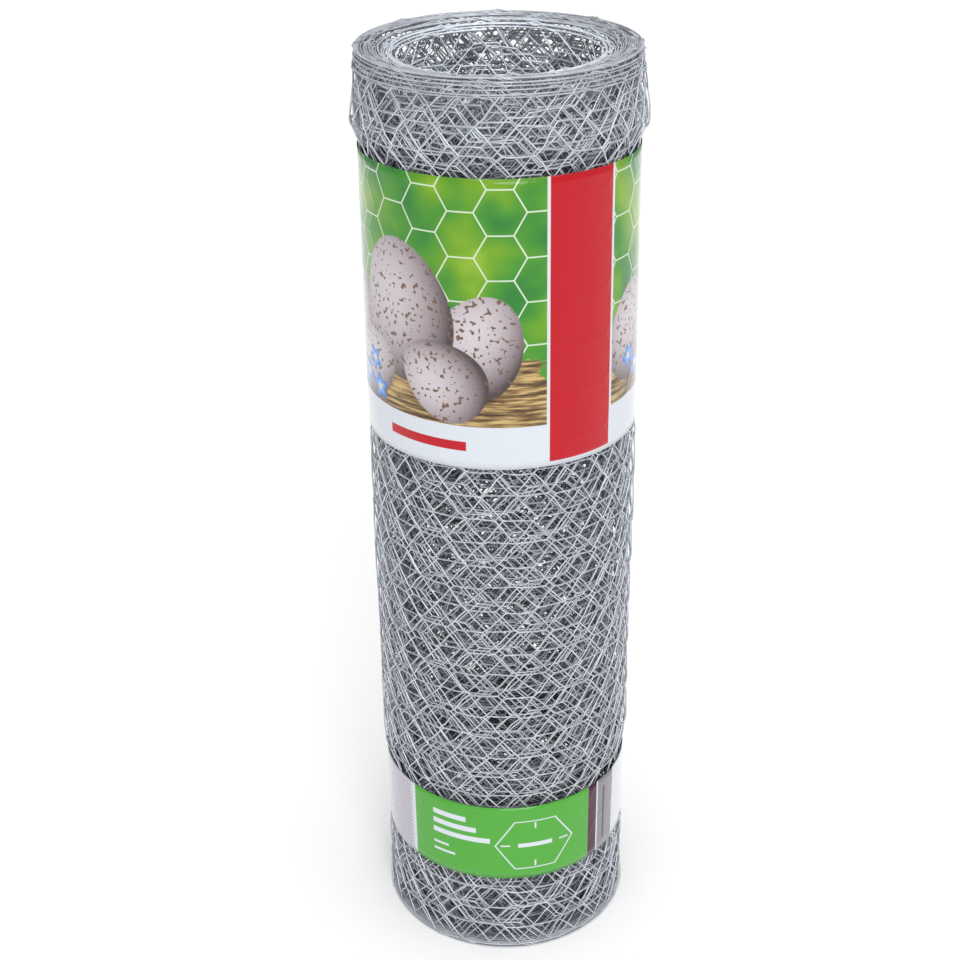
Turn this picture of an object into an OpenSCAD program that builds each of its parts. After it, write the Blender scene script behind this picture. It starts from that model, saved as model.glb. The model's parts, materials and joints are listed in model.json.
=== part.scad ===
// Roll of hexagonal wire netting, standing on one end, with two printed wrap labels.
// Millimetres, +Z up. The origin is on the roll's axis, at the floor that it stands on.

/* [Netting] */
// Width of the netting, which is the height of each turn
roll_height = 500; // [360:5:1500]
// Length of netting that is wound on the roll
netting_length = 10000; // [5000:100:30000]
// Radius that one turn adds where the roll is wound tightest, at its foot
turn_pitch = 0.88; // [0.6:0.02:3]

/* [Roll] */
// Diameter of the hollow centre
bore_d = 97; // [60:1:200]
// Radius that the roll loses from its foot to its rim
top_draw = 0.4; // [0:0.1:4]
// How far the roll bellies out between its ends
belly = 0.9; // [0:0.1:3]
// How far the netting swells out just above the upper label
rim_swell = 2.6; // [0:0.1:5]
// How far the upper label draws the netting in
upper_waist = 0.9; // [0:0.1:4]
// How far the lower label draws the netting in
lower_waist = 1.9; // [0:0.1:4]
// Height over which the netting eases from a label's edge to its free radius
shoulder_h = 12; // [6:1:14]

/* [Ends] */
// How far the inner turns stand above the outermost one, so that the roll is stepped at its rim and hollow at its foot
step_rise = 10; // [0:0.5:20]
// Number of steps in which the outer turns rise to the height of the inner ones
step_turns = 3; // [1:1:10]
// How far the turns stand out of line with each other at the top
end_stagger = 2.4; // [0:0.1:6]
// Depth of the gap between neighbouring turns
gap_depth = 1.2; // [0.4:0.1:3]
// Width of the flat crest of a turn, as a share of the turn's own width
crest_share = 0.5; // [0.3:0.05:0.8]

/* [Labels] */
// Thickness of the label film
label_t = 0.25; // [0.15:0.05:0.6]
// Clearance between the film and the netting beneath it
label_fit = 0.3; // [0.1:0.05:0.5]
// Length by which a label's two ends overlap at the glued seam
seam_lap = 18; // [8:1:60]
// Height of the upper label
upper_label_h = 148; // [60:0.5:180]
// Distance from the top end down to the upper label
upper_label_drop = 38; // [20:0.5:80]
// Height of the lower label
lower_label_h = 50.5; // [20:0.5:80]
// Height of the lower label's lower edge above the floor
lower_label_z = 51; // [20:0.5:80]

/* [Hidden] */
$fn = 180;

zinc_grey = [0.66, 0.67, 0.69];
label_green = [0.36, 0.62, 0.18];
leaf_green = [0.3, 0.68, 0.22];

bore_r = bore_d / 2;

// Turns of a spiral that starts at the bore and uses up the netting's length
turns = round((sqrt(bore_d * bore_d + 4 * turn_pitch * netting_length / PI) - bore_d) / (2 * turn_pitch));
wound_r = bore_r + turns * turn_pitch;

upper_label_top = roll_height - upper_label_drop;
upper_label_z = upper_label_top - upper_label_h;
lower_label_top = lower_label_z + lower_label_h;

// Direction that the labels' glued seams face: +Y, the back of the roll
seam_angle = 90;
// Direction of the line where a label's ring closes: clear of the seam and of the netting's own line at +X
ring_angle = 135;

// Points along each eased stretch of the outer profile
ease_steps = 5;
// Angle between the stagger of one turn and the next, chosen so that no simple pattern repeats
stagger_angle = 73;

function ease(t) = t <= 0 ? 0 : t >= 1 ? 1 : t * t * (3 - 2 * t);

// 1 over a label from low to high, easing to 0 a shoulder's height above and below it
function held_at(z, low, high) =
    ease((z - low + shoulder_h) / shoulder_h) * ease((high + shoulder_h - z) / shoulder_h);

// 0 at the upper label's top edge, 1 a shoulder's height above it, and 0 again two shoulders further up
function swell_at(z) =
    ease((z - upper_label_top) / shoulder_h) * ease((upper_label_top + 3 * shoulder_h - z) / (2 * shoulder_h));

// Outer radius of the netting at height z
function outer_r(z) =
    wound_r - top_draw * z / roll_height + belly * sin(180 * z / roll_height) + rim_swell * swell_at(z)
    - upper_waist * held_at(z, upper_label_z, upper_label_top)
    - lower_waist * held_at(z, lower_label_z, lower_label_top);

// Radius at which turn i begins, at height z; turn number turns would begin at the outer surface
function turn_r(i, z) = bore_r + (outer_r(z) - bore_r) * i / turns;

// Radii of the two edges of turn i's flat crest: the first crest starts at the bore, the last ends at the rim
function crest_inner_r(i, z) = i == 0 ? bore_r : turn_r(i + (1 - crest_share) / 2, z);
function crest_outer_r(i, z) = i == turns - 1 ? outer_r(z) : turn_r(i + (1 + crest_share) / 2, z);

// Height of turn i's lower edge above the floor: the outermost turn stands on it
function foot_z(i) = step_rise * min(1, (turns - 1 - i) / step_turns);

// Height of turn i's crest at the top end
function crest_z(i) = foot_z(i) + roll_height - end_stagger * pow(sin(i * stagger_angle), 2);

// Heights at which a stretch of the outer profile that starts at z is sampled
function eased_heights(z, height) = [for (k = [0:ease_steps]) z + height * k / ease_steps];

// Heights between z0 and z1, without both
function spread_heights(z0, z1) = [for (k = [1:ease_steps - 1]) z0 + (z1 - z0) * k / ease_steps];

// Lower end, from the bore outwards: each turn's flat crest at its own height, with a gap after it
function lower_end() = [
    for (i = [0:turns - 1]) each concat(
        [[crest_inner_r(i, 0), foot_z(i)], [crest_outer_r(i, 0), foot_z(i)]],
        i < turns - 1 ? [[turn_r(i + 1, 0), foot_z(i) + gap_depth]] : []
    )
];

// Outer surface, from the lower end to the upper one
function outer_surface() = [
    for (z = concat(
        eased_heights(lower_label_z - shoulder_h, shoulder_h),
        eased_heights(lower_label_top, shoulder_h),
        spread_heights(lower_label_top + shoulder_h, upper_label_z - shoulder_h),
        eased_heights(upper_label_z - shoulder_h, shoulder_h),
        spread_heights(upper_label_z, upper_label_top),
        eased_heights(upper_label_top, shoulder_h),
        [for (k = [1:ease_steps]) upper_label_top + shoulder_h * (1 + 2 * k / ease_steps)]
    ))
        if (z > gap_depth && z < roll_height - end_stagger - gap_depth) [outer_r(z), z]
];

// Upper end, from the rim inwards: each turn's crest at its own height, with a gap after it
function upper_end() = [
    for (k = [0:turns - 1]) let (i = turns - 1 - k, top = roll_height) each concat(
        [[crest_outer_r(i, top), crest_z(i)], [crest_inner_r(i, top), crest_z(i)]],
        i > 0 ? [[turn_r(i, top), foot_z(i) + roll_height - end_stagger - gap_depth]] : []
    )
];

// The wound netting: one turned solid round its bore, with its turns standing out at both ends
module netting_roll() {
    color(zinc_grey)
        rotate_extrude()
            polygon(concat(lower_end(), outer_surface(), upper_end()));
}

// Section of a film band from z0 to z1 that follows the netting's surface, between two depths above it
module band_section(z0, z1, from, to) {
    polygon([
        [outer_r(z0) + from, z0],
        [outer_r(z0) + to, z0],
        [outer_r(z1) + to, z1],
        [outer_r(z1) + from, z1]
    ]);
}

// A printed film strip wrapped round the netting, its ends lapped and glued at the back
module wrap_label(z0, height) {
    z1 = z0 + height;
    lap_angle = seam_lap / outer_r(z0) * 180 / PI;
    rotate([0, 0, ring_angle])
        rotate_extrude()
            band_section(z0, z1, label_fit, label_fit + label_t);
    rotate([0, 0, seam_angle - lap_angle / 2])
        rotate_extrude(angle = lap_angle)
            band_section(z0, z1, label_fit + label_t / 2, label_fit + 2 * label_t);
}

module upper_label() {
    color(label_green)
        wrap_label(upper_label_z, upper_label_h);
}

module lower_label() {
    color(leaf_green)
        wrap_label(lower_label_z, lower_label_h);
}

netting_roll();
upper_label();
lower_label();
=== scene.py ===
# Roll of hexagonal wire netting with two printed wrap labels: its looks, in metres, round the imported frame.
import json
import math

import bmesh
import bpy
import numpy as np
from mathutils import Matrix, Vector, noise


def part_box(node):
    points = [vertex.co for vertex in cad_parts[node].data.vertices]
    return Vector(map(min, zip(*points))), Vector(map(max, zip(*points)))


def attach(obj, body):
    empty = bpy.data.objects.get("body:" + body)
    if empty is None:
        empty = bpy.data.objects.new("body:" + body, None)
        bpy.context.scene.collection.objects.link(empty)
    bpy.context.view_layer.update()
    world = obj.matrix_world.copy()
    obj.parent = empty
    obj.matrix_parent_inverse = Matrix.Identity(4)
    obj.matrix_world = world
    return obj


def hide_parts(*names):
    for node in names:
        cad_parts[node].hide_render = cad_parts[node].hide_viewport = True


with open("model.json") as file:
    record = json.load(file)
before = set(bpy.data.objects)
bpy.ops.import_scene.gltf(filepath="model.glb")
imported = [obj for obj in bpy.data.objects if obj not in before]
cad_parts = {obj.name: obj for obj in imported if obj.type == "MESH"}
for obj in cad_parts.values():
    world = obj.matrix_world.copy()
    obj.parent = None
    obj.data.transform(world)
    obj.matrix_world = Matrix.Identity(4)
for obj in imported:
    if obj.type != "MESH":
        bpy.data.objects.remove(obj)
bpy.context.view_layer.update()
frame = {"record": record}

# Sizes that the frame gives
bore = next(m["dims"] for m in frame["record"]["mounts"] if m["name"] == "core_bore")
BORE_R = bore["r_mm"] / 1000
ROLL_H = bore["length_mm"] / 1000
UPPER_Z = (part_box("upper_label")[0].z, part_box("upper_label")[1].z)
LOWER_Z = (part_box("lower_label")[0].z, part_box("lower_label")[1].z)

# The roll's outer skin, with the same values as the part's source
WOUND_R = 0.07138
TOP_DRAW = 0.0004
BELLY = 0.0009
RIM_SWELL = 0.0026
UPPER_WAIST = 0.0009
LOWER_WAIST = 0.0019
SHOULDER_H = 0.012

# The rim: how far the outer turns step up, and over how many turns
STEP_RISE = 0.0105
STEP_TURNS = 5
# How far groups of turns sink again towards the bore, how uneven they are, and how far the end leans back
GROUP_TURNS = 4.2
GROUP_SUNK = (0, 0, 0.0005, 0.0009, 0.0016, 0.0032, 0.0046)
UNEVEN = 0.0005
UNEVEN_STEP = 0.25
LEAN = 0.0014

# The flat netting
NETTING_L = 10.0
WIRE_R = 0.0004
EDGE_WIRE_R = 0.00045
COLUMN = 0.0263
COLUMNS = round(NETTING_L / COLUMN)
TWIST = 0.0152
TWIST_R = 0.5 * WIRE_R
HALF_TWISTS = 3
# How much a diagonal wire flattens towards its ends
ROUNDING = 0.25
ROWS = 18.5
ROW_0 = 2 * WIRE_R + 2 * EDGE_WIRE_R
ROW = (ROLL_H - 2 * ROW_0) / ROWS

# Detail of a stretch: sides of a wire, steps along a twist and along a diagonal, and the wire's radius
FINE = (4, 6, 3, WIRE_R)
FAIR = (4, 4, 2, WIRE_R)
COARSE = (3, 3, 1, 1.6 * WIRE_R)
RIM = (4, 4, 2, 1.15 * WIRE_R)
# Stretches of the netting, each with the column where it ends, counted from the core
STRETCHES = (
    ("netting_inner_turns", 36, FAIR),
    ("netting_core_turns_1", 130, COARSE),
    ("netting_core_turns_2", 224, COARSE),
    ("netting_wrap_turns_1", 285, FAIR),
    ("netting_wrap_turns_2", 346, FAIR),
    ("netting_outer_turns_1", 363, FINE),
    ("netting_outer_turns_2", COLUMNS, FINE),
)
# Rows below the rim that have its detail, and how deep turns' wires repeat there, in columns and rows
RIM_ROWS = 2.2
CRUSHED_LAYERS = 3
CRUSHED_SHIFT = (0.4, -0.3)
# How much painted shade the wires take: crushed ones at the rim, and those along both edges
CRUSHED_SHADE = 0.4
EDGE_SHADE = 0.9

# The winding
CORE_R = BORE_R + 2 * WIRE_R
TURNS = 26
# Radius of the outermost turn where it lies on the next one, and how the turns crowd towards it
OUTER_R = 0.0703
CROWDING = 1.3
LOOSE_CROWDING = 0.7
OUTER_END_ANGLE = math.radians(88.3)
LENGTH_STEP = 0.002
# Turns from the outside that keep to a regular mesh, and turns over which the deep ones then lose it
SHOWN_TURNS = 6
SHOWN_EASE = 3

# How far the wound netting wanders round the roll and up it, and the distance between its random values
BROAD = 0.001
BROAD_STEP = 0.2
SOFT = 0.0005
SOFT_STEP = 0.07
BEND = 0.0009
BEND_STEP = 0.011
DEEP_STEP = 0.05
DEEP_SLIDE = (0.02, 0.009)
DEEP_SWAY = (0.003, 0.004)
# Largest share of the distance to an edge that a wire sways towards it
SWAY_LIMIT = 0.6
# How far the wires stand in and out
DENT = 0.0004
DENT_STEP = 0.06
RIPPLE = 0.0003
RIPPLE_STEP = 0.026
# How far the outermost turn springs out between the labels, and its limits there and under the film
SPRING = 0.0003
SPRING_STEP = 0.08
SPRING_LIMIT = 0.003
UNDER_FILM = 0.00005

# Film labels
FILM_T = 0.00012
FILM_LIFT = 0.0002
FILM_RIPPLE = 0.00016
FILM_RIPPLE_STEP = 0.03
FILM_COLUMNS = 240
FILM_ROW = 0.004
SEAM_LAP = 0.018

# The photograph's viewpoint: its frame and focal length in pixels, and its fitted place and aim
PHOTO_PX = 960
FOCAL_PX = 1594.1
SENSOR_MM = 36
CAMERA_PLACE = (0, -0.7789, 0.6716)
CAMERA_PITCH = math.radians(27.157)
CAMERA_YAW = math.radians(-0.908)
CAMERA_ROLL = math.radians(-0.938)

# Soft suns of the studio: name, direction towards it, spread in degrees and strength
SUNS = (
    ("key", (0.2, -1, 0.62), 30, 1.22),
    ("top", (0.1, -0.2, 1), 60, 1.05),
)
SKY_STRENGTH = 0.66


def ease(t):
    t = np.clip(t, 0, 1)
    return t * t * (3 - 2 * t)


def held(z, span):
    """1 where a label holds the netting in, easing to 0 a shoulder's height past its edges."""
    return ease((z - span[0] + SHOULDER_H) / SHOULDER_H) * ease((span[1] + SHOULDER_H - z) / SHOULDER_H)


def skin_radius(z):
    """Outer radius of the roll at height z."""
    over = z - UPPER_Z[1]
    swell = ease(over / SHOULDER_H) * ease((3 * SHOULDER_H - over) / (2 * SHOULDER_H))
    lift = np.clip(z / ROLL_H, 0, 1)
    straight = WOUND_R - TOP_DRAW * lift + BELLY * np.sin(math.pi * lift)
    return straight + RIM_SWELL * swell - UPPER_WAIST * held(z, UPPER_Z) - LOWER_WAIST * held(z, LOWER_Z)


def wander(seed, along, up, step):
    """Smooth noise from -1 to 1 over the flat netting, with one random value at each step."""
    margin = 2
    size = (int(NETTING_L / step) + 3 * margin, int(ROLL_H / step) + 3 * margin)
    grid = np.random.default_rng(seed).uniform(-1, 1, size)
    x = np.clip(along / step + margin, 0, size[0] - 2)
    y = np.clip(up / step + margin, 0, size[1] - 2)
    i = x.astype(int)
    j = y.astype(int)
    fx = ease(x - i)
    fy = ease(y - j)
    low = grid[i, j] * (1 - fx) + grid[i + 1, j] * fx
    high = grid[i, j + 1] * (1 - fx) + grid[i + 1, j + 1] * fx
    return low * (1 - fy) + high * fy


def turns_in(length):
    """Turns inwards from the netting's outer end, at a length from it, with meshes of one size."""
    found = [0.0]
    while len(found) * LENGTH_STEP < NETTING_L + 0.1:
        radius = CORE_R + (OUTER_R - CORE_R) * (1 - min(found[-1] / TURNS, 1) ** CROWDING)
        found.append(found[-1] + LENGTH_STEP / (2 * math.pi * radius))
    turns = np.interp(length, LENGTH_STEP * np.arange(len(found)), found)
    return turns + np.minimum(length, 0) / (2 * math.pi * OUTER_R)


def sunk_at(depth, along):
    """How far a turn has sunk at the rim: each group of turns by its own amount, a little uneven."""
    sunk = np.array(GROUP_SUNK)
    group = np.clip(depth / GROUP_TURNS, 0, len(sunk) - 1.01)
    nearest = group.astype(int)
    stepped = sunk[nearest] + (sunk[nearest + 1] - sunk[nearest]) * ease(4 * (group - nearest) - 3)
    return stepped + UNEVEN * (1 + wander(5, along, 0 * along, UNEVEN_STEP)) * ease(depth - 0.5)


def wound(flat):
    """Places points of the flat netting (along, out, up) on the roll."""
    along, out, up = flat.T
    depth = np.maximum(turns_in(NETTING_L - along), 0)
    inside = ease((depth - SHOWN_TURNS) / SHOWN_EASE)
    # Both edges lie straight, so the wander eases out towards them
    free = ease(up / (0.5 * ROW)) * ease((ROLL_H - up) / ((0.5 - 0.25 * inside) * ROW))
    slid = along + (BROAD + DEEP_SLIDE[0] * inside) * wander(1, along, up, BROAD_STEP)
    slid += DEEP_SLIDE[1] * inside * wander(12, along, up, DEEP_STEP)
    slid += SOFT * wander(10, along, up, SOFT_STEP) + BEND * wander(2, along, up, BEND_STEP)
    angle = OUTER_END_ANGLE - 2 * math.pi * turns_in(NETTING_L - slid)
    sway = (BROAD + BROAD * ease(depth) + DEEP_SWAY[0] * inside) * wander(3, along, 0.4 * up, BROAD_STEP)
    sway += DEEP_SWAY[1] * inside * wander(13, along, up, DEEP_STEP)
    sway += SOFT * wander(11, along, up, SOFT_STEP) + BEND * wander(4, along, up, BEND_STEP)
    sway = np.clip(free * sway, -SWAY_LIMIT * up, SWAY_LIMIT * np.maximum(ROLL_H - ROW_0 - up, 0))
    rise = np.clip((depth - 0.3) / STEP_TURNS, 0, 1)
    top = LEAN * rise * np.sin(angle) - sunk_at(depth, along)
    height = up + sway + STEP_RISE * rise * up / ROLL_H + top * up / ROLL_H
    # The turns lie looser over the upper label's top edge
    loose = ease((up - UPPER_Z[1] + 0.03) / 0.06)
    share = 1 - np.minimum(depth / TURNS, 1) ** (CROWDING + LOOSE_CROWDING * loose)
    skin = skin_radius(height)
    radius = CORE_R + (skin - (2.2 - loose) * WIRE_R - CORE_R) * share + out
    radius += DENT * wander(7, along, up, DENT_STEP) + RIPPLE * wander(8, along, up, RIPPLE_STEP)
    last = ease(1.3 - depth)
    open_zone = 1 - np.maximum(held(height, LOWER_Z), held(height, UPPER_Z))
    radius += last * open_zone * SPRING * (1 + wander(9, along, up, SPRING_STEP)) * free
    radius = np.minimum(radius, skin - UNDER_FILM + SPRING_LIMIT * open_zone)
    return np.stack([radius * np.cos(angle), radius * np.sin(angle), height], 1)


def sweep(bm, path, radius, sides):
    """Draws one wire along a path of points, open at both ends."""
    points = [Vector(p) for p in path]
    runs = [(b - a).normalized() for a, b in zip(points, points[1:])]
    aims = [runs[0]] + [(a + b).normalized() for a, b in zip(runs, runs[1:])] + [runs[-1]]
    ring = bmesh.ops.create_circle(bm, segments=sides, radius=radius)["verts"]
    edges = list({e for v in ring for e in v.link_edges})
    turn = Vector((0, 0, 1)).rotation_difference(aims[0]).to_matrix()
    bmesh.ops.rotate(bm, verts=ring, matrix=turn)
    bmesh.ops.translate(bm, verts=ring, vec=points[0])
    for k in range(1, len(points)):
        made = bmesh.ops.extrude_edge_only(bm, edges=edges)["geom"]
        ring = [g for g in made if isinstance(g, bmesh.types.BMVert)]
        edges = [g for g in made if isinstance(g, bmesh.types.BMEdge) and set(g.verts) <= set(ring)]
        bend = aims[k - 1].rotation_difference(aims[k]).to_matrix()
        bmesh.ops.rotate(bm, cent=points[k - 1], verts=ring, matrix=bend)
        bmesh.ops.translate(bm, verts=ring, vec=points[k] - points[k - 1])


def coil(phase, half_turns, radius, steps, middle=0.0):
    """Points of a wire that winds along one twisted side, from its left end to its right end."""
    points = []
    for k in range(steps + 1):
        angle = phase + math.pi * half_turns * k / steps
        along = TWIST * (k / steps - 0.5)
        points.append((along, radius * math.sin(angle), middle + radius * math.cos(angle)))
    return points


def diagonal(start, rise, steps):
    """Points of the single wire from a twist's right end to the next column, without its first point."""
    reach = COLUMN - TWIST
    shares = [k / steps for k in range(1, steps + 1)]
    eased = [t - ROUNDING * math.sin(2 * math.pi * t) / (2 * math.pi) for t in shares]
    return [(start[0] + reach * t, 0, start[2] + rise * e) for t, e in zip(shares, eased)]


def wire_shapes(sides, twist_steps, diagonal_steps, wire_r):
    """Vertices and faces of a mesh cell, of the loops on both edges, and of a column's edge wire."""
    rise = ROW / 2 - 2 * TWIST_R
    paths = {"cell": [], "top": [], "foot": [], "edge": []}
    for phase, way in ((0, -1), (math.pi, 1)):
        winding = coil(phase, HALF_TWISTS, TWIST_R, twist_steps)
        paths["cell"].append((winding + diagonal(winding[-1], way * rise, diagonal_steps), wire_r))
    wrap = EDGE_WIRE_R + WIRE_R
    for name, phase, way in (("top", math.pi, -1), ("foot", 0, 1)):
        winding = coil(phase, 2, wrap, twist_steps, -way * EDGE_WIRE_R)
        paths[name].append((winding + diagonal(winding[-1], way * rise, diagonal_steps), wire_r))
    straight = [(COLUMN * k / 4 - TWIST / 2, 0, 0) for k in range(5)]
    paths["edge"].append((straight, EDGE_WIRE_R))
    shapes = {}
    for name, wires in paths.items():
        bm = bmesh.new()
        for path, radius in wires:
            sweep(bm, path, radius, sides)
        bmesh.ops.recalc_face_normals(bm, faces=bm.faces)
        bm.verts.index_update()
        verts = np.array([v.co[:] for v in bm.verts])
        quads = np.array([[v.index for v in f.verts] for f in bm.faces])
        shapes[name] = (verts, quads)
        bm.free()
    return shapes


def cell_places(first, last, crushed):
    """Where each shape repeats on the flat netting, between two columns."""
    places = {"cell": [], "top": [], "foot": [], "edge": []}
    for column in range(first, last):
        along = (column + 0.5) * COLUMN
        if column % 2:
            places["cell"] += [(along, 0, ROW_0 + ROW * (k + 0.5)) for k in range(int(ROWS))]
            places["top"].append((along, 0, ROLL_H - ROW_0))
        else:
            places["cell"] += [(along, 0, ROW_0 + ROW * (k + 1)) for k in range(int(ROWS))]
            places["foot"].append((along, 0, ROW_0))
        places["edge"].append((along, 0, ROW_0 - EDGE_WIRE_R))
        places["edge"].append((along, 0, ROLL_H - ROW_0 + EDGE_WIRE_R))
    places = {name: np.array(found) for name, found in places.items()}
    high = places["cell"][:, 2] > ROLL_H - RIM_ROWS * ROW
    places["rim"] = places["cell"][high]
    places["cell"] = places["cell"][~high]
    if crushed:
        # The deep turns are crushed at the rim, so their wires lie closer together there
        shift = np.array((CRUSHED_SHIFT[0] * COLUMN, 0, CRUSHED_SHIFT[1] * ROW))
        places["rim"] = np.concatenate([places["rim"] + k * shift for k in range(CRUSHED_LAYERS)])
    return places


def painted_shade(kind, shape, crushed):
    """How much painted shade each vertex of a shape takes: on its twisted sides, and over the whole of a
    crushed or an edge wire.
    """
    if kind == "cell" or kind == "rim" and not crushed:
        return ease((TWIST / 2 - np.abs(shape[:, 0])) / 0.001 + 0.5)
    return np.full(len(shape), CRUSHED_SHADE if kind == "rim" else EDGE_SHADE)


def add_object(name, data):
    made = bpy.data.objects.new(name, data)
    bpy.context.scene.collection.objects.link(made)
    return made


def netting_piece(name, first, last, detail):
    """One stretch of the netting, as a joined mesh of repeated shapes wound on the roll."""
    crushed = detail == COARSE
    shapes = wire_shapes(*detail)
    rim_shapes = wire_shapes(*(RIM if crushed else detail))
    shapes["rim"] = rim_shapes["cell"]
    shapes["top"] = rim_shapes["top"]
    verts = []
    quads = []
    shade_shares = []
    count = 0
    for kind, places in cell_places(first, last, crushed).items():
        shape, faces = shapes[kind]
        verts.append((shape[None] + places[:, None]).reshape(-1, 3))
        # Painted shade of the twists, of crushed wires and of edge wires, for each vertex
        shade_shares.append(np.tile(painted_shade(kind, shape, crushed), len(places)))
        starts = count + len(shape) * np.arange(len(places))
        quads.append((faces[None] + starts[:, None, None]).reshape(-1, 4))
        count += len(shape) * len(places)
    flat = np.concatenate(verts)
    corners = np.concatenate(quads).astype(np.int32).ravel()
    mesh = bpy.data.meshes.new(name)
    mesh.vertices.add(len(flat))
    mesh.vertices.foreach_set("co", wound(flat).astype(np.float32).ravel())
    mesh.loops.add(len(corners))
    mesh.loops.foreach_set("vertex_index", corners)
    mesh.polygons.add(len(corners) // 4)
    mesh.polygons.foreach_set("loop_start", np.arange(0, len(corners), 4, dtype=np.int32))
    mesh.polygons.foreach_set("use_smooth", np.ones(len(corners) // 4, bool))
    span = flat[:, 0].min(), np.ptp(flat[:, 0])
    unrolled = np.stack([(flat[:, 0] - span[0]) / span[1], flat[:, 2] / ROLL_H], 1)
    layer = mesh.uv_layers.new(name="OFBake")
    layer.uv.foreach_set("vector", unrolled[corners].astype(np.float32).ravel())
    # The painted shade goes to the material in the twist attribute
    marks = mesh.attributes.new("twist", "FLOAT", "POINT")
    marks.data.foreach_set("value", np.concatenate(shade_shares).astype(np.float32))
    mesh.update(calc_edges=True)
    mesh.validate()
    return add_object(name, mesh)


def ink(red, green, blue):
    """A screen colour from 0 to 255 as the linear colour that a shader takes."""
    parts = [c / 255 for c in (red, green, blue)]
    return (*[c / 12.92 if c < 0.04045 else ((c + 0.055) / 1.055) ** 2.4 for c in parts], 1)


class Shade:
    """A new material and its shader nodes."""

    def __init__(self, name):
        self.material = bpy.data.materials.new(name)
        self.material.use_nodes = True
        self.tree = self.material.node_tree
        self.shader = self.tree.nodes["Principled BSDF"]

    def add(self, kind, **settings):
        node = self.tree.nodes.new(kind)
        for name, value in settings.items():
            setattr(node, name, value)
        return node

    def feed(self, socket, value):
        """Links a socket to another node's output, or sets it to a plain value."""
        if isinstance(value, bpy.types.NodeSocket):
            self.tree.links.new(value, socket)
        else:
            socket.default_value = value

    def surface(self, values):
        for name, value in values.items():
            self.feed(self.shader.inputs[name], value)

    def math(self, operation, *values):
        node = self.add("ShaderNodeMath", operation=operation)
        for socket, value in zip(node.inputs, values):
            self.feed(socket, value)
        return node.outputs["Value"]

    def length(self, vector):
        node = self.add("ShaderNodeVectorMath", operation="LENGTH")
        self.feed(node.inputs[0], vector)
        return node.outputs["Value"]

    def between(self, value, start, end, result=(0, 1)):
        """A value's place between a start and an end, as a number from the first result to the second."""
        node = self.add("ShaderNodeMapRange")
        self.feed(node.inputs["Value"], value)
        self.feed(node.inputs["From Min"], start)
        self.feed(node.inputs["From Max"], end)
        self.feed(node.inputs["To Min"], result[0])
        self.feed(node.inputs["To Max"], result[1])
        return node.outputs["Result"]

    def grain(self, vector, scale, detail):
        node = self.add("ShaderNodeTexNoise")
        self.feed(node.inputs["Scale"], scale)
        self.feed(node.inputs["Detail"], detail)
        self.feed(node.inputs["Vector"], vector)
        return node.outputs["Fac"]

    def ramp(self, value, *stops):
        """A colour that changes with a value, from (position, colour) stops."""
        node = self.add("ShaderNodeValToRGB")
        elements = node.color_ramp.elements
        while len(elements) < len(stops):
            elements.new(0.5)
        for element, (position, colour) in zip(elements, stops):
            element.position = position
            element.color = colour
        self.feed(node.inputs["Fac"], value)
        return node.outputs["Color"]

    def mix(self, colour, over, share, blend="MIX"):
        node = self.add("ShaderNodeMix", data_type="RGBA", blend_type=blend)
        self.feed(node.inputs["Factor"], share)
        self.feed(node.inputs[6], colour)
        self.feed(node.inputs[7], over)
        return node.outputs[2]

    def times(self, colour, factor):
        return self.mix(colour, factor, 1, "MULTIPLY")


def grey(level):
    return (level, level, level, 1)


def zinc_wire():
    """Galvanised wire: bright and dull zinc in patches along the wire, with painted shade deep inside the
    roll and on the twisted sides, and painted light on the bore's upper wall.
    """
    zinc = Shade("galvanised_wire")
    place = zinc.add("ShaderNodeTexCoord").outputs["Object"]
    split = zinc.add("ShaderNodeSeparateXYZ")
    zinc.feed(split.inputs["Vector"], place)
    height = split.outputs["Z"]
    level = zinc.add("ShaderNodeCombineXYZ")
    zinc.feed(level.inputs["X"], split.outputs["X"])
    zinc.feed(level.inputs["Y"], split.outputs["Y"])
    reach = zinc.length(level.outputs["Vector"])
    # Where the painted shade deep inside the roll is left off: on the outer turns, at the rim and on the
    # bore's upper wall
    outer = zinc.between(reach, WOUND_R - 0.009, WOUND_R - 0.003)
    rim = zinc.between(height, ROLL_H - 0.002, ROLL_H + 0.004)
    inner = zinc.between(reach, CORE_R + 0.011, CORE_R + 0.005)
    upper = zinc.between(height, ROLL_H - 0.06, ROLL_H - 0.03)
    lit_bore_top = zinc.math("MULTIPLY", inner, upper)
    unshaded = zinc.math("MAXIMUM", outer, zinc.math("MAXIMUM", lit_bore_top, rim))
    twist = zinc.add("ShaderNodeAttribute", attribute_name="twist").outputs["Fac"]
    patches = zinc.grain(place, 140, 3)
    colour = zinc.ramp(patches, (0.32, (0.53, 0.56, 0.60, 1)), (0.68, (0.74, 0.78, 0.84, 1)))
    # Painted shade: the deep wires darkened to 0.58 of their colour, fading out on the outer turns, at the
    # rim and on the bore's upper wall
    colour = zinc.times(colour, zinc.ramp(unshaded, (0, (0.58, 0.58, 0.6, 1)), (1, grey(1))))
    # Painted shade on the twisted sides, where the two wires shade each other, and on crushed and edge wires
    colour = zinc.times(colour, zinc.ramp(twist, (0, grey(1)), (1, (0.74, 0.74, 0.75, 1))))
    # Painted light on the bore's upper wall, up to 1.6 times brighter
    colour = zinc.times(colour, zinc.between(lit_bore_top, 0, 1, (1, 1.6)))
    zinc.surface({
        "Base Color": colour,
        "Roughness": zinc.ramp(patches, (0.3, grey(0.5)), (0.7, grey(0.3))),
        "Metallic": 0.3,
    })
    return zinc.material


def label_girth(z_range):
    """Length of film that goes once round the roll at a label's mid height."""
    return 2 * math.pi * (float(skin_radius(np.array(sum(z_range) / 2))) + FILM_LIFT)


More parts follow.
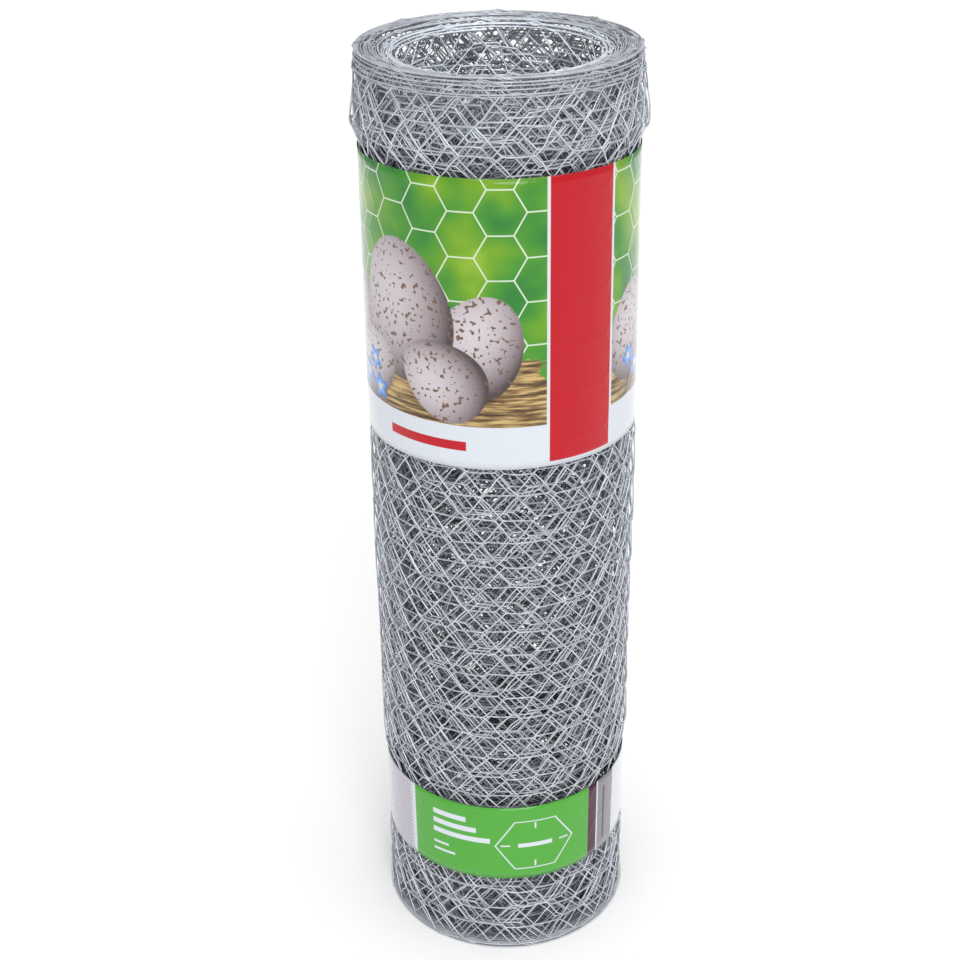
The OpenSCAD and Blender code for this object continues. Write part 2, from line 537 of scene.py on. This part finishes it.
def film_label(name, z_range):
    """A strip of film wrapped once round the roll, its ends lapped at the back."""
    height = z_range[1] - z_range[0]
    girth = label_girth(z_range)
    length = girth + SEAM_LAP
    rows = max(12, round(height / FILM_ROW))
    bm = bmesh.new()
    bmesh.ops.create_grid(bm, x_segments=FILM_COLUMNS, y_segments=rows, size=0.5)
    bmesh.ops.scale(bm, verts=bm.verts, vec=(length, height, 1))
    print_map = bm.loops.layers.uv.new("print")
    bake_map = bm.loops.layers.uv.new("OFBake")
    for face in bm.faces:
        for loop in face.loops:
            x, y, _ = loop.vert.co
            loop[print_map].uv = (x, y + height / 2)
            loop[bake_map].uv = (x / length + 0.5, y / height + 0.5)
    for vert in bm.verts:
        x, y, _ = vert.co
        z = z_range[0] + height / 2 + y
        lapped = float(ease((x - length / 2 + SEAM_LAP) / (SEAM_LAP / 3)))
        ripple = FILM_RIPPLE * noise.noise(Vector((x / FILM_RIPPLE_STEP, y / FILM_RIPPLE_STEP, len(name))))
        radius = float(skin_radius(np.array(z))) + FILM_LIFT + ripple + lapped * 2 * FILM_T
        angle = -math.pi / 2 + 2 * math.pi * x / girth
        vert.co = (radius * math.cos(angle), radius * math.sin(angle), z)
    mesh = bpy.data.meshes.new(name)
    bm.to_mesh(mesh)
    bm.free()
    mesh.shade_smooth()
    piece = add_object(name, mesh)
    wall = piece.modifiers.new("film", "SOLIDIFY")
    wall.thickness = FILM_T
    wall.offset = -1
    return piece


class Print(Shade):
    """A design printed on film, in millimetres, that repeats round the label.

    x runs to the right from the label's front, y runs up from its lower edge,
    and self.colour is what is printed so far.
    """

    def __init__(self, name, period, repeat_edge, paper):
        super().__init__(name)
        place = self.add("ShaderNodeUVMap", uv_map="print")
        split = self.add("ShaderNodeSeparateXYZ")
        self.feed(split.inputs["Vector"], place.outputs["UV"])
        across = self.math("MULTIPLY", split.outputs["X"], 1000)
        self.x = self.math("WRAP", across, repeat_edge, repeat_edge - period)
        self.y = self.math("MULTIPLY", split.outputs["Y"], 1000)
        self.colour = paper

    def above(self, value, edge, blur=0.2):
        """1 where a value is over an edge, 0 where it is under."""
        node = self.add("ShaderNodeMapRange", interpolation_type="SMOOTHSTEP")
        self.feed(node.inputs["Value"], value)
        if isinstance(edge, bpy.types.NodeSocket):
            self.feed(node.inputs["From Min"], self.math("SUBTRACT", edge, blur))
            self.feed(node.inputs["From Max"], self.math("ADD", edge, blur))
        else:
            self.feed(node.inputs["From Min"], edge - blur)
            self.feed(node.inputs["From Max"], edge + blur)
        return node.outputs["Result"]

    def below(self, value, edge, blur=0.2):
        return self.math("SUBTRACT", 1, self.above(value, edge, blur))

    def both(self, mask, other):
        return self.math("MULTIPLY", mask, other)

    def band(self, value, low, high, blur=0.2):
        return self.both(self.above(value, low, blur), self.below(value, high, blur))

    def box(self, left, right, low, high):
        return self.both(self.band(self.x, left, right), self.band(self.y, low, high))

    def speckle(self, size, detail=2, seed=0.0, lean=0.0, stretch=1.0):
        """Noise of a given grain size, stretched along a leaning direction."""
        spot = self.add("ShaderNodeCombineXYZ")
        self.feed(spot.inputs["X"], self.x)
        self.feed(spot.inputs["Y"], self.y)
        turn = self.add("ShaderNodeMapping")
        turn.inputs["Rotation"].default_value[2] = math.radians(lean)
        turn.inputs["Scale"].default_value = (1 / (size * stretch), 1 / size, 1)
        turn.inputs["Location"].default_value[2] = seed
        self.feed(turn.inputs["Vector"], spot.outputs["Vector"])
        return self.grain(turn.outputs["Vector"], 1, detail)

    def honeycomb(self, height):
        """Distance from the middle of the nearest cell of a hexagon pattern of that height."""
        width = math.sqrt(3) * height
        found = []
        for shift in (0, 0.5):
            x = self.math("ADD", self.x, shift * width)
            y = self.math("ADD", self.y, shift * height)
            x = self.math("ABSOLUTE", self.math("WRAP", x, width / 2, -width / 2))
            y = self.math("ABSOLUTE", self.math("WRAP", y, height / 2, -height / 2))
            slant = self.math("MULTIPLY_ADD", x, math.sqrt(3) / 2, self.math("MULTIPLY", y, 0.5))
            found.append(self.math("MAXIMUM", y, slant))
        return self.math("MINIMUM", *found)

    def paint(self, colour, mask):
        self.colour = self.mix(self.colour, colour, mask)

    def finish(self, roughness, relief):
        """Lays the print on glossy film that shows the wires beneath as faint ridges."""
        wires = self.band(self.honeycomb(25), 11.2, 13, 0.9)
        bump = self.add("ShaderNodeBump")
        self.feed(bump.inputs["Strength"], 1)
        self.feed(bump.inputs["Distance"], relief)
        self.feed(bump.inputs["Height"], self.math("MULTIPLY_ADD", wires, 0.35, self.speckle(22)))
        self.surface({
            "Base Color": self.colour,
            "Roughness": roughness,
            "Specular IOR Level": 0.1,
            "Coat Weight": 1,
            "Coat Roughness": 0.1,
            "Coat IOR": 1.29,
            "Normal": bump.outputs["Normal"],
            "Coat Normal": bump.outputs["Normal"],
        })
        return self.material


RED_INK = ink(182, 12, 28)
WHITE_INK = ink(206, 211, 219)
LEAF_INK = ink(78, 160, 56)
MAROON_INK = ink(70, 26, 46)

# The upper label: top of its white strip, sides of its red stripe and the line beside it, in millimetres
UPPER_STRIP = 23
STRIPE = (24, 61)
STRIPE_LINE = 1.6
# Eggs as (x, y, width, lean in degrees), and flowers as (x, y, size, turn)
EGGS = (
    (-96, 66, 42, 18),
    (-12, 64, 46, -24),
    (-140, 58, 44, -10),
    (-54, 78, 60, 8),
    (-30, 46, 40, 60),
    (-82, 42, 38, -64),
)
FLOWERS = (
    (-90, 34, 8.5, 0),
    (-79, 45, 7, 2),
    (-74, 31, 7.5, 4),
    (-131, 36, 8, 1),
    (-143, 44, 7, 3),
    (-120, 33, 6.5, 5),
)

# The lower label: sides of its green panel, bars as (low, high, length), and its hexagon's place and size
PANEL = (-58, 52)
BARS_LEFT = -44
BARS = (
    (38, 41.4, 21),
    (31.5, 34.9, 27),
    (25, 28.4, 35),
    (17, 18.6, 10),
    (12, 13.6, 14),
)
HEXAGON = (17, 23.5)
HEXAGON_WIDE = 23.5
HEXAGON_FLAT = 12
HEXAGON_TALL = 17


def paint_egg(page, x, y, width, tilt, speckles):
    """A speckled egg, shaded as a solid."""
    height = width * 1.22
    lean = math.radians(tilt)
    dx = page.math("SUBTRACT", page.x, x)
    dy = page.math("SUBTRACT", page.y, y)
    across = page.math("MULTIPLY_ADD", dx, math.cos(lean), page.math("MULTIPLY", dy, math.sin(lean)))
    along = page.math("MULTIPLY_ADD", dx, -math.sin(lean), page.math("MULTIPLY", dy, math.cos(lean)))
    along = page.math("DIVIDE", along, height / 2)
    across = page.math("DIVIDE", across, width / 2)
    taper = page.math("MULTIPLY_ADD", along, 0.12, 1)
    across = page.math("MULTIPLY", across, taper)
    reach = page.math("MULTIPLY_ADD", across, across, page.math("MULTIPLY", along, along))
    light = page.math("MULTIPLY_ADD", along, 0.2, page.math("MULTIPLY_ADD", across, -0.22, 0.72))
    light = page.math("MULTIPLY_ADD", reach, -0.42, light)
    shell = page.ramp(light, (0.1, ink(74, 64, 66)), (0.42, ink(150, 138, 142)),
                      (0.75, ink(196, 188, 192)), (1, ink(222, 216, 214)))
    mask = page.below(reach, 1, 0.03)
    page.paint(shell, mask)
    page.paint(ink(112, 88, 76), page.both(mask, speckles))


def paint_flower(page, x, y, size, turn):
    """A five-petalled blue flower with a yellow eye."""
    dx = page.math("SUBTRACT", page.x, x)
    dy = page.math("SUBTRACT", page.y, y)
    reach = page.math("SQRT", page.math("MULTIPLY_ADD", dx, dx, page.math("MULTIPLY", dy, dy)))
    angle = page.math("MULTIPLY_ADD", page.math("ARCTAN2", dy, dx), 5, turn)
    edge = page.math("MULTIPLY_ADD", page.math("COSINE", angle), size * 0.2, size * 0.78)
    share = page.math("DIVIDE", reach, edge)
    petal = page.ramp(share, (0.2, ink(150, 190, 240)), (0.6, ink(88, 148, 222)), (1, ink(40, 100, 190)))
    page.paint(petal, page.below(share, 1, 0.06))
    page.paint(ink(240, 205, 70), page.below(reach, size * 0.2))


def upper_print(girth):
    """Speckled eggs in straw, blue flowers and a netting pattern on a garden green, with a red stripe."""
    middle = sum(STRIPE) / 2
    half = (STRIPE[1] - STRIPE[0]) / 2
    page = Print("upper_label_film", girth / 2, middle, WHITE_INK)
    page.colour = page.ramp(page.speckle(34, 2, 3.1), (0.3, ink(34, 116, 50)), (0.45, ink(70, 140, 42)),
                            (0.58, ink(108, 156, 32)), (0.72, ink(146, 180, 52)))
    page.paint(ink(206, 216, 196), page.above(page.honeycomb(22), 10.65, 0.18))
    stalks = page.math("MAXIMUM", page.speckle(2.2, 3, 1.7, 24, 9), page.speckle(1.8, 3, 5.2, -31, 11))
    straw = page.ramp(stalks, (0.4, ink(58, 42, 30)), (0.52, ink(122, 96, 62)), (0.66, ink(196, 168, 112)))
    nest_top = page.math("MULTIPLY_ADD", page.speckle(15, 3, 8.8), 46, 30)
    page.paint(straw, page.below(page.y, nest_top, 1.2))
    speckles = page.above(page.speckle(2.4, 1, 2.3), 0.63, 0.03)
    for egg in EGGS:
        paint_egg(page, *egg, speckles)
    for flower in FLOWERS:
        paint_flower(page, *flower)
    page.paint(WHITE_INK, page.below(page.y, UPPER_STRIP))
    page.paint(RED_INK, page.box(-64, -18, 9.5, 14.5))
    before = page.math("SUBTRACT", middle, page.x)
    after = page.math("SUBTRACT", page.x, middle - girth / 2)
    aside = page.math("MINIMUM", before, after)
    page.paint(WHITE_INK, page.below(aside, half + STRIPE_LINE))
    page.paint(RED_INK, page.both(page.below(aside, half), page.above(page.y, 2.4)))
    return page.finish(0.2, 0.0003)


def lower_print(girth):
    """A green panel with plain bars and a mesh figure, a maroon stripe and a ruled white panel."""
    left, right = PANEL
    page = Print("lower_label_film", girth / 2, right + 26, WHITE_INK)
    rules = page.math("ABSOLUTE", page.math("WRAP", page.y, 1.3, -1.3))
    ruled = page.box(left - 50, left - 4.5, 2.5, 48)
    page.paint(ink(190, 186, 196), page.band(page.x, left - 54, left - 2.5))
    page.paint(ink(136, 130, 144), page.both(page.below(rules, 0.4), ruled))
    page.paint(LEAF_INK, page.band(page.x, left, right))
    for low, high, length in BARS:
        page.paint(WHITE_INK, page.box(BARS_LEFT, BARS_LEFT + length, low, high))
    x = page.math("ABSOLUTE", page.math("SUBTRACT", page.x, HEXAGON[0]))
    y = page.math("ABSOLUTE", page.math("SUBTRACT", page.y, HEXAGON[1]))
    slope = (HEXAGON_WIDE - HEXAGON_FLAT) / HEXAGON_TALL
    slant = page.math("DIVIDE", page.math("MULTIPLY_ADD", y, slope, x), HEXAGON_WIDE)
    hexagon = page.math("MAXIMUM", page.math("DIVIDE", y, HEXAGON_TALL), slant)
    page.paint(WHITE_INK, page.band(hexagon, 0.96, 1.0, 0.012))
    page.paint(WHITE_INK, page.both(page.below(y, 1.4), page.below(x, 10)))
    page.paint(WHITE_INK, page.both(page.band(y, 11.5, 15.5), page.below(x, 0.5)))
    page.paint(WHITE_INK, page.both(page.band(x, 14.5, 20), page.below(y, 0.5)))
    page.paint(MAROON_INK, page.band(page.x, right, right + 7))
    page.paint(ink(128, 124, 132), page.band(page.x, right + 8.2, right + 24))
    page.paint(ink(70, 60, 72), page.box(right + 13, right + 15, 6, 44))
    return page.finish(0.22, 0.00025)


def add_camera():
    """The photograph's viewpoint, from its fitted place, aim and focal length."""
    ahead = math.cos(CAMERA_PITCH)
    forward = Vector((math.sin(CAMERA_YAW) * ahead, math.cos(CAMERA_YAW) * ahead, -math.sin(CAMERA_PITCH)))
    level = forward.cross(Vector((0, 0, 1))).normalized()
    upright = level.cross(forward)
    right = math.cos(CAMERA_ROLL) * level + math.sin(CAMERA_ROLL) * upright
    above = math.cos(CAMERA_ROLL) * upright - math.sin(CAMERA_ROLL) * level
    data = bpy.data.cameras.new("camera")
    data.sensor_width = SENSOR_MM
    data.lens = FOCAL_PX * SENSOR_MM / PHOTO_PX
    camera = add_object("camera", data)
    aim = Matrix((right, above, -forward)).transposed().to_4x4()
    camera.matrix_world = Matrix.Translation(CAMERA_PLACE) @ aim
    bpy.context.scene.camera = camera


def add_stage():
    """A white floor with a painted shadow where the roll stands on it, under soft, even studio light."""
    bm = bmesh.new()
    bmesh.ops.create_grid(bm, x_segments=1, y_segments=1, size=6)
    mesh = bpy.data.meshes.new("floor")
    bm.to_mesh(mesh)
    bm.free()
    floor = add_object("floor", mesh)
    white = Shade("white_floor")
    reach = white.length(white.add("ShaderNodeTexCoord").outputs["Object"])
    # Painted shadow: the floor is dark under the roll and fades to white just past its foot
    unshadowed = white.between(reach, WOUND_R - 0.0012, WOUND_R + 0.0009)
    white.surface({
        "Base Color": white.ramp(unshadowed, (0, (0.4, 0.4, 0.43, 1)), (1, grey(0.96))),
        "Roughness": 0.7,
    })
    mesh.materials.append(white.material)
    world = bpy.data.worlds.new("studio")
    bpy.context.scene.world = world
    world.use_nodes = True
    sky = world.node_tree.nodes["Background"]
    sky.inputs["Color"].default_value = grey(1)
    sky.inputs["Strength"].default_value = SKY_STRENGTH
    for name, toward, spread, strength in SUNS:
        data = bpy.data.lights.new(name, "SUN")
        data.angle = math.radians(spread)
        data.energy = strength
        light = add_object(name, data)
        light.location = Vector(toward) * 2
        light.rotation_euler = Vector(toward).to_track_quat("Z", "Y").to_euler()
    bpy.context.scene.view_settings.view_transform = "Standard"


def build():
    wire = zinc_wire()
    first = 0
    for name, last, detail in STRETCHES:
        piece = netting_piece(name, first, last, detail)
        piece.data.materials.append(wire)
        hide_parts("netting_roll")
        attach(piece, "root")
        first = last
    for name, node, z_range, slot, printed in (
        ("upper_wrap", "upper_label", UPPER_Z, "upper_label_film", upper_print),
        ("lower_wrap", "lower_label", LOWER_Z, "lower_label_film", lower_print),
    ):
        piece = film_label(name, z_range)
        piece.data.materials.append(printed(1000 * label_girth(z_range)))
        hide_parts(node)
        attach(piece, "root")


add_camera()
add_stage()
build()
